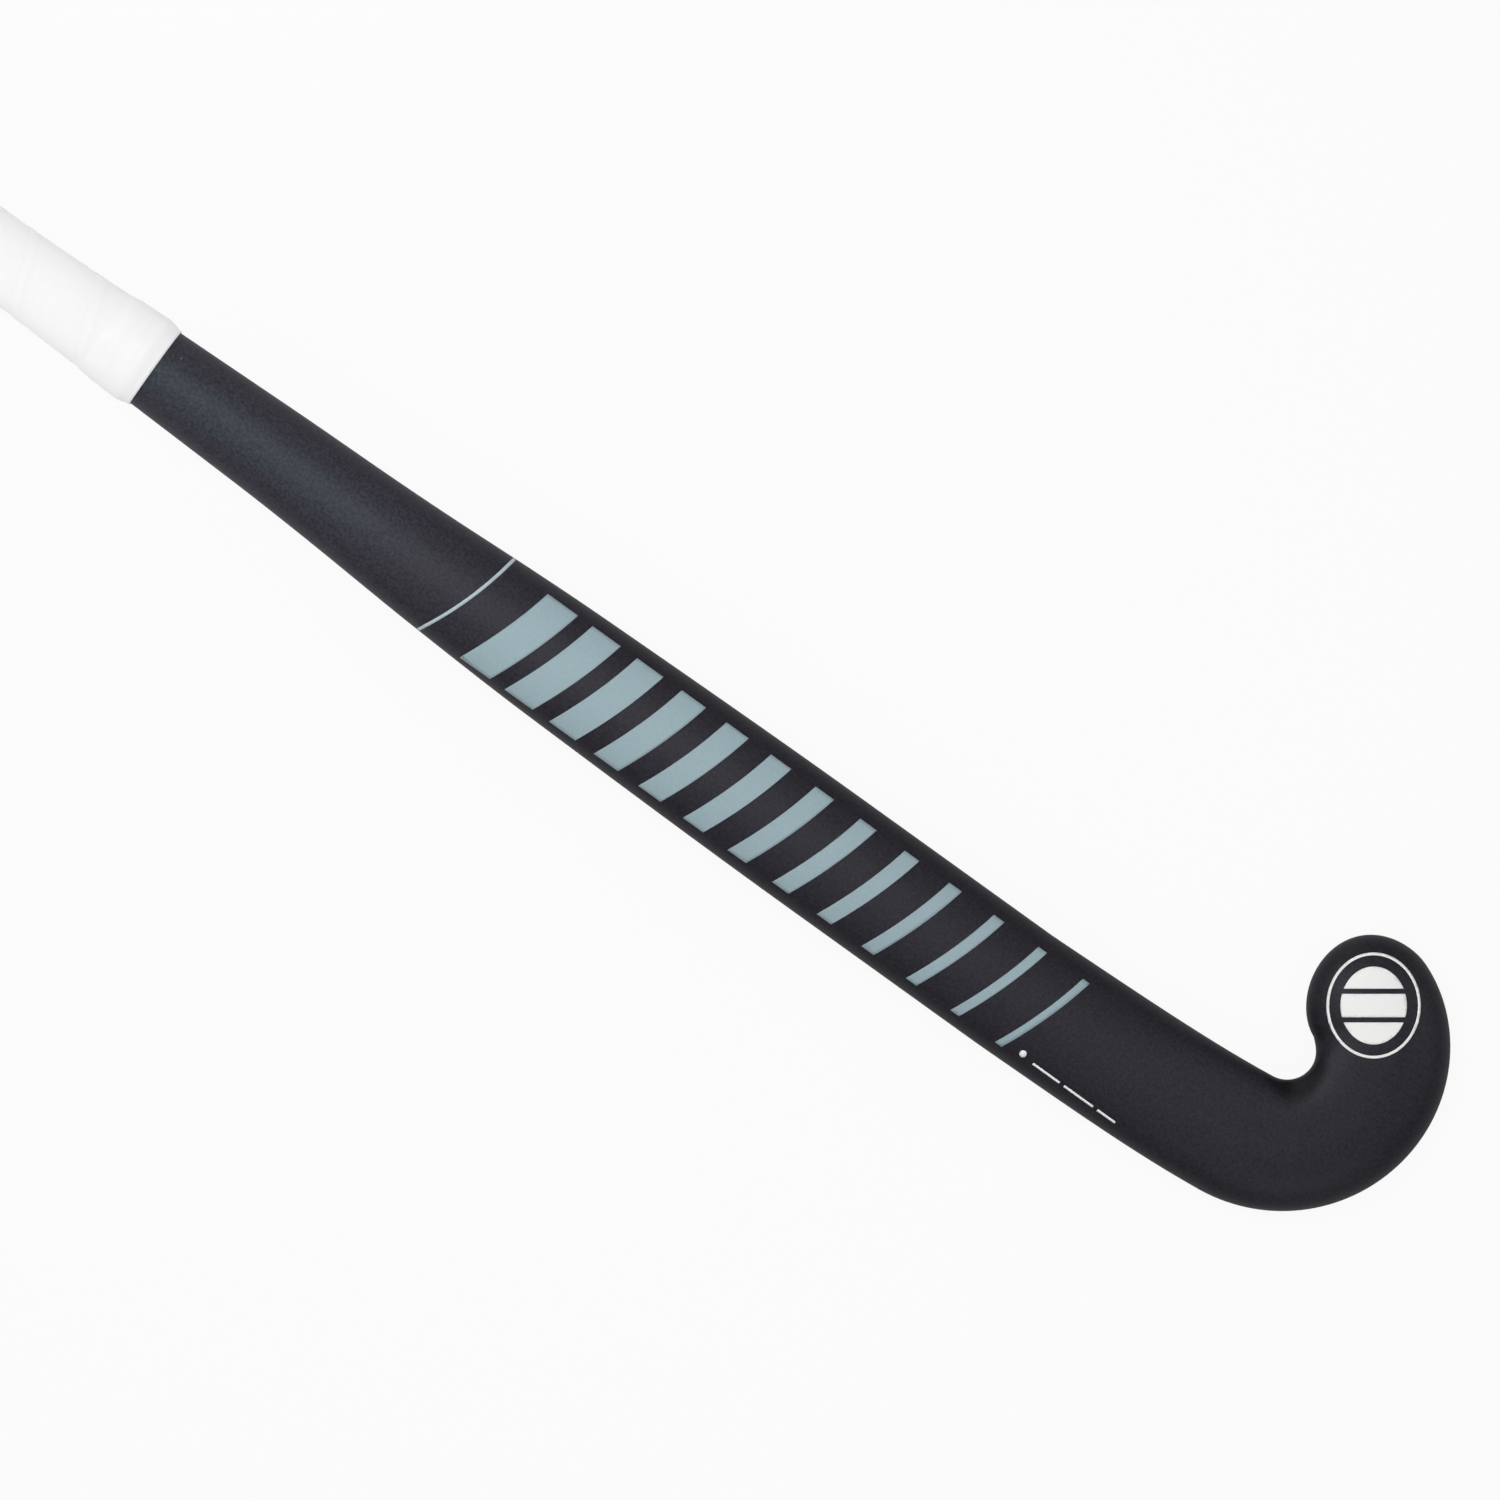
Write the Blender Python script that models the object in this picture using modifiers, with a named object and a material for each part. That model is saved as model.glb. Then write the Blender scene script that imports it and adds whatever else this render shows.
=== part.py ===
"""Indoor hockey stick, lying on its flat face: a laminated wooden head spliced to a cane handle,
inside a moulded fibre sleeve, with a bound and wrapped grip.

X runs from the butt to the head, Y towards the toe and Z up, away from the flat face.
All sizes are in metres.
"""

import math
from collections import namedtuple

import bmesh
import bpy

# Overall form
STICK_LENGTH = 0.927
GRIP_LENGTH = 0.3887  # from the butt to the grip's lower end
ARCH = 0.020  # the most that the stick rises off the line from butt to head
FACE_LENGTH = 0.125  # the head's flat face, back from the far side of the head

# Bare handle and shaft: widths, and the runs in which one passes into the next
HANDLE_WIDTH = 0.0272
NECK_RUN = 0.0737  # under the grip's lower end
NECK_WIDTH = 0.0314
THROAT_RUN = 0.0793
THROAT_WIDTH = 0.0362
SHOULDER_RUN = 0.107
SHOULDER_WIDTH = 0.0452
SHAFT_RUN = 0.115
SHAFT_WIDTH = 0.0480
HANDLE_THICKNESS = 0.0260
SHAFT_THICKNESS = 0.0225
SHAFT_CORNER = 0.0065  # rounding between the flat face and the sides
HANDLE_CROWN = 2.0  # power of the round side's curve: 2 is an ellipse, more is fuller
SHAFT_CROWN = 2.3
HANDLE_OFFSET = 0.0011  # how far the handle's centre line lies towards the toe
OFFSET_START = 0.046  # past the grip, where that offset begins to close
OFFSET_RUN = 0.085

# Hooked head, drawn about the centre of the crook
HEAD_WIDTH = 0.0480  # across the middle of the hook
HEAD_THICKNESS = 0.0200
HEAD_CORNER = 0.0055
CROOK_RADIUS = 0.0094
CROOK_OPENING = 0.0012  # how far the crook opens out where the shaft runs into it
HEAD_SHIFT_BACK = 0.0020  # the outer arc's centre from the crook's centre, towards the butt
HEAD_SHIFT_TOE = 0.0014  # and towards the toe
HEEL_FULLNESS = 0.0022  # how far the heel stands out past the outer arc
BEND_LENGTH = 0.095  # the shaft's last stretch, where it drifts towards the toe
BEND_DRIFT = 0.0046
BEND_SHARE = 0.52  # how much of that drift is even, the rest gathering at the head
BEND_POWER = 4
TOE_ANGLE = 68.7  # degrees round the crook where the head's end begins to close
TOE_REACH = 0.0234  # from there to the tip of the toe
TOE_NARROWING = 0.0009
NARROWING_POWER = 5  # how late that narrowing gathers
TOE_LEAN = 0.0018  # how far the tip leans outward
TOE_POWER = 1.8  # power of the toe's outline

# Layers
CLEARANCE = 0.0003
CHORD_SLACK = 0.0002  # how far the flats of a round wall stand in from its true curve
SLEEVE_WALL = 0.0012
SLEEVE_UNDER_GRIP = 0.0687
BINDING_THICKNESS = 0.0010
BINDING_STOP = 0.006  # bare cane between the binding and the sleeve
UNDERLAY_THICKNESS = 0.0008

# Laminated head and its splice
LAMINATIONS_EACH_SIDE = 4
FEATHER = 0.0008  # thinnest edge that a lamination runs out to
FEATHER_STEP = 0.001
SPLICE_DEPTH = 0.010  # from the sleeve's upper end to the splice
SPLICE_LENGTH = 0.140
SPLICE_TIP_WIDTH = 0.0020

# Cane handle: three staves on two rubber strips
MIDDLE_STAVE = 0.0060
SPRING_THICKNESS = 0.0015
CANE_SHOULDER = 0.004  # the cane's step up to its full size inside the sleeve

# Butt cap
BUTT_THICKNESS = 0.0030
BUTT_RIM = 0.0020  # how far the cap stands out past the bare handle
BUTT_EDGE = 0.0008
BUTT_SKIRT = 0.012

# Grip
GRIP_THICKNESS = 0.0010
GRIP_EDGE = 0.00035  # thickness of the skived edges
GRIP_SKIVE = 0.006  # width of the skived edge
GRIP_PITCH = 0.0295
GRIP_LAP = 0.004
LAP_CLEARANCE = 0.0002
LAP_STEP = 0.001  # the run in which a turn comes down off the edge that it laps
LAST_LAP = 0.0384  # from the grip's lower end to where the last lap crosses the toe side
TAPE_WIDTH = 0.022
TAPE_TAPER = 0.007  # the tape's last stretch, drawn down onto the shaft
TAPE_THICKNESS = 0.0003

# Fineness of the surfaces
CORNER_STEPS = 4
CROWN_STEPS = 11
SHAFT_STEP = 0.026
HANDLE_STEP = 0.045
HEAD_STEP = 9.0  # degrees
TOE_FRACTIONS = (0.25, 0.5, 0.7, 0.85, 0.95)
LEAST_CORNER = 0.0002
CORNER_SHARE = 0.8  # the most of a cut's half width that its rounded corner takes

# Places along the stick, from the butt
HANDLE_END = GRIP_LENGTH - NECK_RUN
THROAT = GRIP_LENGTH + THROAT_RUN
SHOULDER = THROAT + SHOULDER_RUN
FULL_WIDTH = SHOULDER + SHAFT_RUN
FACE_START = STICK_LENGTH - FACE_LENGTH
SLEEVE_START = GRIP_LENGTH - SLEEVE_UNDER_GRIP
SPLICE_START = SLEEVE_START + SPLICE_DEPTH
SPLICE_END = SPLICE_START + SPLICE_LENGTH

# The head's outer arc, and the centre of the crook seen from above
HEAD_RADIUS = CROOK_RADIUS + HEAD_WIDTH + HEAD_SHIFT_BACK
HEEL_RADIUS = HEAD_RADIUS - HEAD_SHIFT_TOE + HEEL_FULLNESS
CROOK_X = STICK_LENGTH - HEAD_RADIUS + HEAD_SHIFT_BACK
CROOK_Y = BEND_DRIFT + (HEEL_RADIUS + CROOK_RADIUS + CROOK_OPENING) / 2

# Insets from the bare stick's outer surface to what lies inside it
CORE_INSET = SLEEVE_WALL + CLEARANCE
BINDING_INSET = UNDERLAY_THICKNESS + CLEARANCE
STAVE_INSET = BINDING_INSET + BINDING_THICKNESS + CLEARANCE + CHORD_SLACK

Cut = namedtuple("Cut", "centre across along half thickness corner power end")


def through(stations, place):
    """The value at a place on a smooth curve through (place, value) stations, which never overshoots."""
    if place <= stations[0][0]:
        return stations[0][1]
    if place >= stations[-1][0]:
        return stations[-1][1]
    gaps = [b[0] - a[0] for a, b in zip(stations, stations[1:])]
    rises = [(b[1] - a[1]) / gap for a, b, gap in zip(stations, stations[1:], gaps)]
    slopes = [0.0]
    for before, after in zip(rises, rises[1:]):
        level = before * after <= 0
        slopes.append(0.0 if level else 2 * before * after / (before + after))
    slopes.append(0.0)
    i = max(k for k, station in enumerate(stations[:-1]) if station[0] <= place)
    t = (place - stations[i][0]) / gaps[i]
    start, end = stations[i][1], stations[i + 1][1]
    return (
        start * (2 * t**3 - 3 * t**2 + 1)
        + end * (3 * t**2 - 2 * t**3)
        + gaps[i] * (slopes[i] * (t**3 - 2 * t**2 + t) + slopes[i + 1] * (t**3 - t**2))
    )


def width_at(x):
    return through(
        [
            (HANDLE_END, HANDLE_WIDTH),
            (GRIP_LENGTH, NECK_WIDTH),
            (THROAT, THROAT_WIDTH),
            (SHOULDER, SHOULDER_WIDTH),
            (FULL_WIDTH, SHAFT_WIDTH),
        ],
        x,
    )


def along_stick(x, at_handle, at_shaft, at_head):
    """A size that passes from the handle's value to the shaft's and on to the head's."""
    return through([(HANDLE_END, at_handle), (SHOULDER, at_shaft), (FACE_START, at_head)], x)


def thickness_at(x):
    return along_stick(x, HANDLE_THICKNESS, SHAFT_THICKNESS, HEAD_THICKNESS)


def corner_at(x):
    return along_stick(x, HANDLE_THICKNESS / 2, SHAFT_CORNER, HEAD_CORNER)


def crown_at(x):
    return along_stick(x, HANDLE_CROWN, SHAFT_CROWN, SHAFT_CROWN)


def offset_at(x):
    """How far the centre line lies towards the toe before the head's bend."""
    start = GRIP_LENGTH + OFFSET_START
    return through([(start, HANDLE_OFFSET), (start + OFFSET_RUN, 0.0)], x)


def arch_at(x):
    """Rise of the arch: a parabola as far as the head, whose face is flat and follows its tangent."""
    u = x / STICK_LENGTH
    curved = min(x, FACE_START) / STICK_LENGTH
    slope = 4 * ARCH * (1 - 2 * curved)
    return 4 * ARCH * curved * (1 - curved) + slope * (u - curved)


def middle_at(x):
    """Height of the middle of the stick's thickness, when it rests on the butt and on the head."""
    u = x / STICK_LENGTH
    at_butt = HANDLE_THICKNESS / 2 + BUTT_RIM
    at_head = HEAD_THICKNESS / 2
    return at_butt + (at_head - at_butt) * u + arch_at(x) - arch_at(STICK_LENGTH) * u


def inner_radius(angle):
    """Edge of the crook, from its centre, at an angle in degrees from the X axis towards the toe."""
    if angle < 0:
        return CROOK_RADIUS + CROOK_OPENING * (angle / 90) ** 2
    return CROOK_RADIUS + TOE_NARROWING * (angle / TOE_ANGLE) ** NARROWING_POWER


def outer_radius(angle):
    """Outer edge of the head, from the centre of the crook."""
    turn = math.radians(angle)
    arc = HEAD_RADIUS - HEAD_SHIFT_BACK * math.cos(turn) + HEAD_SHIFT_TOE * math.sin(turn)
    if angle < 0:
        return arc + HEEL_FULLNESS * (angle / 90) ** 2
    return arc - TOE_NARROWING * (angle / TOE_ANGLE) ** NARROWING_POWER


def shaft_cut(x):
    """The cut across the stick at x, as far as the head's bend."""
    u = max(0.0, 1 - (CROOK_X - x) / BEND_LENGTH)
    drift = offset_at(x) + BEND_DRIFT * (BEND_SHARE * u + (1 - BEND_SHARE) * u**BEND_POWER)
    into_head = (outer_radius(-90) - inner_radius(-90)) / 2
    half = width_at(x) / 2 * (1 - u) + into_head * u
    return Cut(
        (x, drift), (0, -1), (1, 0), half, thickness_at(x), corner_at(x), crown_at(x), 0.0
    )


def head_cut(angle, end=0.0):
    """The cut across the head along a ray from the crook's centre, or past the last ray by the
    given share of the toe's reach."""
    turn = math.radians(angle)
    across = (math.cos(turn), math.sin(turn))
    along = (-math.sin(turn), math.cos(turn))
    inner, outer = inner_radius(angle), outer_radius(angle)
    reach = (inner + outer) / 2 + TOE_LEAN * end**2
    centre = (CROOK_X + reach * across[0], CROOK_Y + reach * across[1])
    half = (outer - inner) / 2
    return Cut(centre, across, along, half, HEAD_THICKNESS, HEAD_CORNER, SHAFT_CROWN, end)


def levels(cut, inset):
    """Half width of a cut, and its heights over the flat face: underside, side and crown."""
    corner = max(cut.corner - inset, LEAST_CORNER)
    half = (cut.half - inset) * math.sqrt(1 - cut.end**TOE_POWER)
    side = inset + corner
    dome = (1 - cut.end**cut.power) ** (1 / cut.power)
    crown = side + (cut.thickness - inset - side) * dome
    reach = TOE_REACH - inset
    past = min(1.0, max(0.0, cut.end * reach - (reach - corner)) / corner)
    under = side - corner * math.sqrt(1 - past**2)
    return half, under, side, crown


def corner_width(cut, inset):
    half = levels(cut, inset)[0]
    return min(max(cut.corner - inset, LEAST_CORNER), CORNER_SHARE * half)


def height_over(cut, inset, v):
    """Heights of the underside and of the crown at v across the cut."""
    half, under, side, crown = levels(cut, inset)
    corner = corner_width(cut, inset)
    past = max(0.0, abs(v) - (half - corner)) / corner
    low = side - (side - under) * math.sqrt(max(0.0, 1 - past**2))
    high = side + (crown - side) * (1 - (abs(v) / half) ** cut.power) ** (1 / cut.power)
    return low, high


def half_width_over(cut, inset, z):
    """Half width of the cut at a height over the flat face."""
    half, under, side, crown = levels(cut, inset)
    if z >= side:
        rise = (z - side) / (crown - side)
        return half * (1 - rise**cut.power) ** (1 / cut.power)
    corner = corner_width(cut, inset)
    drop = (side - z) / (side - under)
    return half - corner + corner * math.sqrt(1 - drop**2)


def place(cut, inset, v, z):
    """A point of a cut in space: v across it towards the heel, z over the flat face."""
    past = cut.end * (TOE_REACH - inset)
    x = cut.centre[0] + v * cut.across[0] + past * cut.along[0]
    y = cut.centre[1] + v * cut.across[1] + past * cut.along[1]
    return x, y, middle_at(x) - cut.thickness / 2 + z


def ring(cut, inset):
    """The points round a cut, from the flat face's heel edge over the crown and back."""
    half, under, side, crown = levels(cut, inset)
    corner = corner_width(cut, inset)
    heel = []
    for k in range(CORNER_STEPS + 1):
        turn = math.pi / 2 * k / CORNER_STEPS
        heel.append((half - corner + corner * math.sin(turn), side - (side - under) * math.cos(turn)))
    top = []
    for k in range(1, CROWN_STEPS):
        turn = math.pi * k / CROWN_STEPS
        out = abs(math.cos(turn)) ** (2 / cut.power)
        up = math.sin(turn) ** (2 / cut.power)
        top.append((math.copysign(half * out, math.cos(turn)), side + (crown - side) * up))
    toe = [(-v, z) for v, z in reversed(heel)]
    return [place(cut, inset, v, z) for v, z in heel + top + toe]


def steps(start, end, longest):
    """Even places from start to end, no further apart than longest."""
    count = max(1, math.ceil((end - start) / longest - 1e-9))
    return [start + (end - start) * k / count for k in range(count + 1)]


def head_cuts(last_end):
    """The cuts round the head and into the toe, as far as last_end of the toe's reach."""
    angles = steps(-90.0, TOE_ANGLE, HEAD_STEP)[1:]
    ends = [end for end in TOE_FRACTIONS if end < last_end] + [last_end]
    return [head_cut(angle) for angle in angles] + [head_cut(TOE_ANGLE, end) for end in ends]


def material(name, colour, roughness):
    made = bpy.data.materials.new(name)
    made.use_nodes = True
    shader = made.node_tree.nodes["Principled BSDF"]
    shader.inputs["Base Color"].default_value = (*colour, 1)
    shader.inputs["Roughness"].default_value = roughness
    made.diffuse_color = (*colour, 1)
    return made


def loft(name, rings, finish, close=True):
    """A skin through rings of points. A last ring of one point is a tip; close caps the open ends."""
    bm = bmesh.new()
    rows = [[bm.verts.new(point) for point in points] for points in rings]
    for low, high in zip(rows, rows[1:]):
        count = len(low)
        for k in range(count):
            after = (k + 1) % count
            if len(high) == 1:
                bm.faces.new((low[k], low[after], high[0]))
            else:
                bm.faces.new((low[k], low[after], high[after], high[k]))
    if close:
        bm.faces.new(list(reversed(rows[0])))
        if len(rows[-1]) > 1:
            bm.faces.new(rows[-1])
    bmesh.ops.remove_doubles(bm, verts=bm.verts, dist=1e-6)
    bmesh.ops.recalc_face_normals(bm, faces=bm.faces)
    mesh = bpy.data.meshes.new(name)
    bm.to_mesh(mesh)
    bm.free()
    mesh.shade_smooth()
    mesh.set_sharp_from_angle(angle=math.radians(40))
    mesh.materials.append(finish)
    piece = bpy.data.objects.new(name, mesh)
    piece.parent = stick
    pieces.objects.link(piece)
    return piece


def skin(name, rings, wall, finish):
    """An open skin that is given its wall inwards."""
    piece = loft(name, rings, finish, close=False)
    solid = piece.modifiers.new("wall", "SOLIDIFY")
    solid.thickness = wall
    solid.offset = -1
    solid.use_even_offset = True
    return piece


def sleeve():
    """The moulded fibre sleeve: open under the grip and closed over the toe."""
    cuts = [shaft_cut(x) for x in steps(SLEEVE_START, CROOK_X, SHAFT_STEP)]
    cuts += head_cuts(TOE_FRACTIONS[-1])
    tip = head_cut(TOE_ANGLE, 1.0)
    rings = [ring(cut, 0.0) for cut in cuts]
    rings.append([place(tip, 0.0, 0.0, HEAD_CORNER)])
    lacquer = material("dark_lacquered_fibre", (0.022, 0.021, 0.024), 0.5)
    return skin("fibre_sleeve", rings, SLEEVE_WALL, lacquer)


def splice_half(x):
    """Half width of the V that the handle's lower end is cut to."""
    base = width_at(SPLICE_START) / 2 - CORE_INSET
    tip = SPLICE_TIP_WIDTH / 2
    return base + (tip - base) * (x - SPLICE_START) / SPLICE_LENGTH


def lamination(name, side, number, finish):
    """One strip of wood, steamed round the head: side is 1 on the heel side and -1 on the toe side."""
    lane = (SHAFT_WIDTH / 2 - CORE_INSET) / LAMINATIONS_EACH_SIDE
    near = number * lane + CLEARANCE / 2
    far = (number + 1) * lane - CLEARANCE / 2
    outermost = number == LAMINATIONS_EACH_SIDE - 1

    def span(cut):
        half = levels(cut, CORE_INSET)[0] - CLEARANCE
        inner = near
        if cut.across == (0, -1) and cut.centre[0] < SPLICE_END:
            inner = max(near, splice_half(cut.centre[0]) + CLEARANCE)
        return inner, half if outermost else min(far, half)

    def points(cut):
        inner, outer = span(cut)
        across = [inner, (inner + outer) / 2, outer]
        heights = [height_over(cut, CORE_INSET, v) for v in across]
        under = [place(cut, CORE_INSET, side * v, low) for v, (low, high) in zip(across, heights)]
        over = [place(cut, CORE_INSET, side * v, high) for v, (low, high) in zip(across, heights)]
        return under + over[::-1]

    start = SPLICE_START
    while span(shaft_cut(start))[1] - span(shaft_cut(start))[0] < FEATHER:
        start += FEATHER_STEP
    full = levels(head_cut(TOE_ANGLE), CORE_INSET)[0]
    last_end = (1 - ((near + FEATHER + CLEARANCE) / full) ** 2) ** (1 / TOE_POWER)
    cuts = [shaft_cut(x) for x in steps(start, CROOK_X, SHAFT_STEP)]
    cuts += head_cuts(min(last_end, TOE_FRACTIONS[-1]))
    loft(name, [points(cut) for cut in cuts], finish)


def handle_layer(name, low, high, finish):
    """One layer of the cane handle, between two heights from the middle of the thickness. None
    stands for the underside or the crown. Its lower end is cut to the splice's V."""

    def points(x):
        cut = shaft_cut(x)
        inset = CORE_INSET if x > SLEEVE_START else STAVE_INSET
        _, under, _, crown = levels(cut, inset)
        bottom = under + CLEARANCE if low is None else cut.thickness / 2 + low
        top = crown - CLEARANCE if high is None else cut.thickness / 2 + high
        heights = [bottom, (bottom + top) / 2, top]
        widths = [half_width_over(cut, inset, z) for z in heights]
        if x > SPLICE_START:
            widths = [min(width, splice_half(x)) for width in widths]
        heel = [place(cut, inset, width, z) for width, z in zip(widths, heights)]
        toe = [place(cut, inset, -width, z) for width, z in zip(widths, heights)]
        return heel + toe[::-1]

    butt = BUTT_THICKNESS + CLEARANCE
    shoulder = SLEEVE_START - CLEARANCE
    places = steps(butt, shoulder, HANDLE_STEP)
    places += steps(shoulder + CANE_SHOULDER, SPLICE_START, HANDLE_STEP)
    places += steps(SPLICE_START, SPLICE_END - CLEARANCE, SHAFT_STEP)[1:]
    loft(name, [points(x) for x in places], finish)


def handle():
    """Three cane staves glued up on two rubber strips that run between them."""
    cane = material("cane", (0.60, 0.44, 0.24), 0.6)
    rubber = material("spring_rubber", (0.05, 0.045, 0.04), 0.8)
    middle = MIDDLE_STAVE / 2
    inner = middle + CLEARANCE
    outer = inner + SPRING_THICKNESS
    handle_layer("front_cane_stave", None, -outer - CLEARANCE, cane)
    handle_layer("front_rubber_spring", -outer, -inner, rubber)
    handle_layer("middle_cane_stave", -middle, middle, cane)
    handle_layer("back_rubber_spring", inner, outer, rubber)
    handle_layer("back_cane_stave", outer + CLEARANCE, None, cane)


def laminated_head():
    """The wooden strips side by side, numbered from the middle outwards."""
    wood = material("mulberry", (0.66, 0.47, 0.25), 0.6)
    for number in range(LAMINATIONS_EACH_SIDE):
        lamination(f"heel_side_lamination_{number + 1}", 1, number, wood)
        lamination(f"toe_side_lamination_{number + 1}", -1, number, wood)


def handle_wraps():
    """What lies between the cane and the grip: the wound thread and the foam underlay."""
    start = BUTT_THICKNESS + BUTT_SKIRT + CLEARANCE
    thread = material("waxed_thread", (0.55, 0.46, 0.30), 0.8)
    places = steps(start, SLEEVE_START - BINDING_STOP, HANDLE_STEP)
    rings = [ring(shaft_cut(x), BINDING_INSET) for x in places]
    skin("thread_binding", rings, BINDING_THICKNESS, thread)
    foam = material("closed_cell_foam", (0.08, 0.08, 0.085), 0.9)
    places = steps(start, SLEEVE_START - CLEARANCE, HANDLE_STEP)
    skin("grip_underlay", [ring(shaft_cut(x), 0.0) for x in places], UNDERLAY_THICKNESS, foam)


def butt_cap():
    """The rubber cap over the end of the cane, whose skirt lies under the grip."""
    back = BUTT_THICKNESS
    mouth = BUTT_THICKNESS + BUTT_SKIRT
    pocket = STAVE_INSET - CLEARANCE
    turns = [
        (0.0, BUTT_EDGE - BUTT_RIM),
        (BUTT_EDGE, -BUTT_RIM),
        (back, -BUTT_RIM),
        (back, 0.0),
        (mouth, 0.0),
        (mouth, pocket),
        (back, pocket),
    ]
    rubber = material("butt_rubber", (0.03, 0.03, 0.032), 0.7)
    loft("butt_cap", [ring(shaft_cut(x), inset) for x, inset in turns], rubber)


def lap_heights():
    """Heights over the bare stick at a lap: the skived edge that is lapped, the underside of the
    strip that laps it, and the top of that strip."""
    share = GRIP_LAP / GRIP_SKIVE
    lapped = CLEARANCE + GRIP_EDGE * share + GRIP_THICKNESS * (1 - share)
    return lapped, lapped + LAP_CLEARANCE, lapped + LAP_CLEARANCE + GRIP_EDGE


def grip_tape():
    """The grip: one cushioned strip wound from the butt, each turn lapping the skived edge of the
    turn before it."""
    sample = ring(shaft_cut(HANDLE_END / 2), 0.0)[::-1]
    count = len(sample)
    sides = [math.dist(sample[k], sample[(k + 1) % count]) for k in range(count)]
    shares = [sum(sides[:k]) / sum(sides) for k in range(count)]
    toe_side = shares[CORNER_STEPS + 1]

    strip = GRIP_PITCH + GRIP_LAP
    lapped, under_lap, over_lap = lap_heights()
    under = [
        (0.0, under_lap),
        (GRIP_LAP + LAP_CLEARANCE, CLEARANCE + GRIP_EDGE + LAP_CLEARANCE),
        (GRIP_LAP + LAP_STEP, CLEARANCE),
        (strip, CLEARANCE),
    ]
    over = [
        (0.0, over_lap),
        (strip - GRIP_SKIVE, CLEARANCE + GRIP_THICKNESS),
        (strip, CLEARANCE + GRIP_EDGE),
    ]

    def height(profile, q):
        for (q0, h0), (q1, h1) in zip(profile, profile[1:]):
            if q <= q1:
                return h0 + (h1 - h0) * (q - q0) / (q1 - q0)
        return profile[-1][1]

    first, last = BUTT_THICKNESS + CLEARANCE, GRIP_LENGTH - TAPE_TAPER
    anchor = GRIP_LENGTH - LAST_LAP
    turns = math.ceil(GRIP_LENGTH / GRIP_PITCH) + 1
    rings = []
    for k in range(-turns * count, 2 * count):
        lead = anchor + GRIP_PITCH * (k // count + shares[k % count] - toe_side)
        low, high = max(0.0, first - lead), min(strip, last - lead)
        if high - low < GRIP_LAP / 2:
            continue
        points = []
        for profile, qs in ((under, under), (over, over[::-1])):
            for q, _ in qs:
                q = min(max(q, low), high)
                points.append(ring(shaft_cut(lead + q), -height(profile, q))[-1 - k % count])
        rings.append(points)
    loft("grip_tape", rings, material("white_grip", (0.87, 0.87, 0.87), 0.6))


def finishing_tape():
    """The tape wound over the grip's lower end and drawn down onto the shaft."""
    lapped, under_lap, over_lap = lap_heights()
    outside = over_lap + LAP_CLEARANCE + TAPE_THICKNESS
    onto_shaft = CLEARANCE + TAPE_THICKNESS
    taper = GRIP_LENGTH - TAPE_TAPER
    profile = [(taper, outside), (GRIP_LENGTH, onto_shaft)]
    places = [GRIP_LENGTH - TAPE_WIDTH] + steps(taper, GRIP_LENGTH, TAPE_TAPER / 3)
    rings = [ring(shaft_cut(x), -through(profile, x)) for x in places]
    skin("finishing_tape", rings, TAPE_THICKNESS, material("white_tape", (0.88, 0.88, 0.88), 0.55))


for old in list(bpy.data.objects):
    bpy.data.objects.remove(old)

pieces = bpy.data.collections.new("hockey_stick")
bpy.context.scene.collection.children.link(pieces)
stick = bpy.data.objects.new("stick_frame", None)
pieces.objects.link(stick)

fibre_sleeve = sleeve()
laminated_head()
handle()
handle_wraps()
butt_cap()
grip_tape()
finishing_tape()

# The origin is under the middle of the stick's footprint.
across = [vertex.co.y for vertex in fibre_sleeve.data.vertices]
stick.location = (-STICK_LENGTH / 2, -(min(across) + max(across)) / 2, 0)
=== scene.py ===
"""Looks of the indoor hockey stick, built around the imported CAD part.

The stick lies on its flat face. X runs from the butt to the head, Y towards the toe and Z up.
All sizes are in metres, and colours are written as they look in sRGB.
"""

import math
from collections import namedtuple

import bmesh
import bpy
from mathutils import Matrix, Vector
from mathutils.bvhtree import BVHTree


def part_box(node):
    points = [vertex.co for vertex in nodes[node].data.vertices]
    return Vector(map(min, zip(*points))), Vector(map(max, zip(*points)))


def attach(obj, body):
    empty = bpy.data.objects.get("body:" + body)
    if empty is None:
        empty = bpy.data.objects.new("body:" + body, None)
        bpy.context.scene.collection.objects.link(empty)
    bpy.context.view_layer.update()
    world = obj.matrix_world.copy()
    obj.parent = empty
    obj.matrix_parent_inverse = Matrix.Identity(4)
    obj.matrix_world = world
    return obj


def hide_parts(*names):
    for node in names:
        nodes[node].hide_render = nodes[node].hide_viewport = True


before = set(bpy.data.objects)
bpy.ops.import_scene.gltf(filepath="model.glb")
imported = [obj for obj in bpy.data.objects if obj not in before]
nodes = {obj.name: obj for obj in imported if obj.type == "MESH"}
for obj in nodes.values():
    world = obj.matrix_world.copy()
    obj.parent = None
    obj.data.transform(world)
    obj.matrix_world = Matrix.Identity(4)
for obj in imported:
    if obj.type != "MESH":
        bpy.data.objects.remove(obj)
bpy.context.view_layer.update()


# Cane handle. Three staves of rattan are planed flat, glued up and turned round. Rattan shows
# fine pale fibres along the stave, with a darker pore here and there.

STAVE_FIBRE = 0.0009
STAVE_FIBRE_LENGTH = 0.030


def linear(code):
    """A colour written as #rrggbb in sRGB, as the linear colour that a shader takes."""
    parts = [int(code[i : i + 2], 16) / 255 for i in (1, 3, 5)]
    return (*[c / 12.92 if c <= 0.04045 else ((c + 0.055) / 1.055) ** 2.4 for c in parts], 1.0)


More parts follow.
